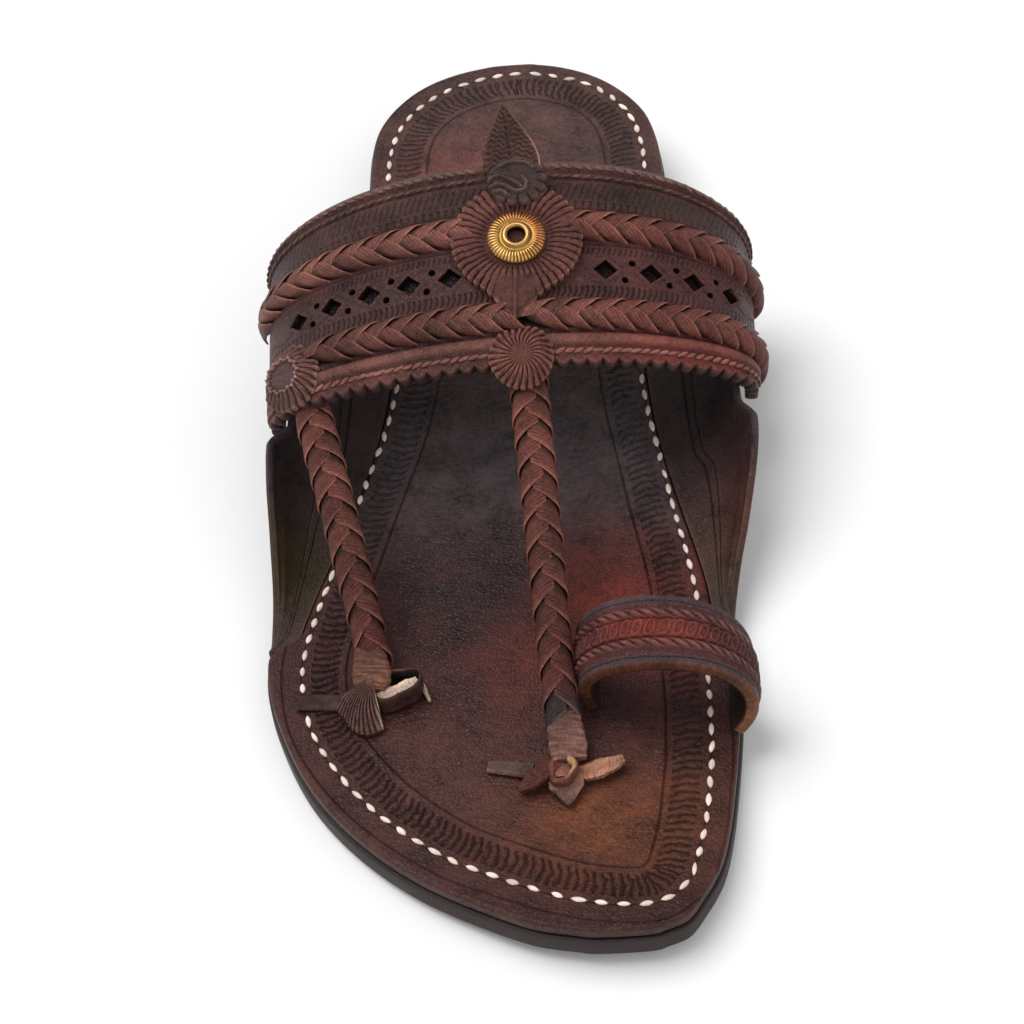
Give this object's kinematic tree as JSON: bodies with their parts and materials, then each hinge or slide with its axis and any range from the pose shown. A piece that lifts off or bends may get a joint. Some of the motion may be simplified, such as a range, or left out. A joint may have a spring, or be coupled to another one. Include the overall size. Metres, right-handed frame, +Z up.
{
  "type": "kolhapuri sandal",
  "caption": "Flat leather toe-ring sandal with a broad arched instep band, raised plaits, fluted rosettes, side ears and two plaited straps on a low stacked heel.",
  "frame": {"origin": "on the floor under the centre of the heel", "axes": "+X towards the big toe's side, +Y towards the back of the heel, -Y towards the toe, +Z up from the floor"},
  "size_m": [0.1196, 0.2684, 0.0676],
  "materials": {
    "sole_leather": "matt edge-dyed sole leather",
    "insole_leather": "waxed and stamped",
    "ear_leather": "waxed",
    "band_leather": "stamped and plaited",
    "rosette_leather": "fluted",
    "wrap_leather": "wrapped thong",
    "peg_leather": "raw cut thong",
    "ring_leather": "stamped, raw orange edge",
    "brass": "aged fluted brass"
  },
  "bodies": {
    "root": {"outsole": "sole_leather", "heel": "sole_leather", "insole": "insole_leather", "ear_lateral": "ear_leather", "ear_medial": "ear_leather", "upper": "band_leather", "leaf_tongue": "rosette_leather", "curled_disc": "rosette_leather", "medallion": "rosette_leather", "brass_rosette": "brass", "front_rosette": "rosette_leather", "side_rosette": "rosette_leather", "centre_wrap": "wrap_leather", "outer_wrap": "wrap_leather", "centre_peg": "peg_leather", "outer_peg": "peg_leather", "toe_ring": "ring_leather"}
  },
  "joints": []
}
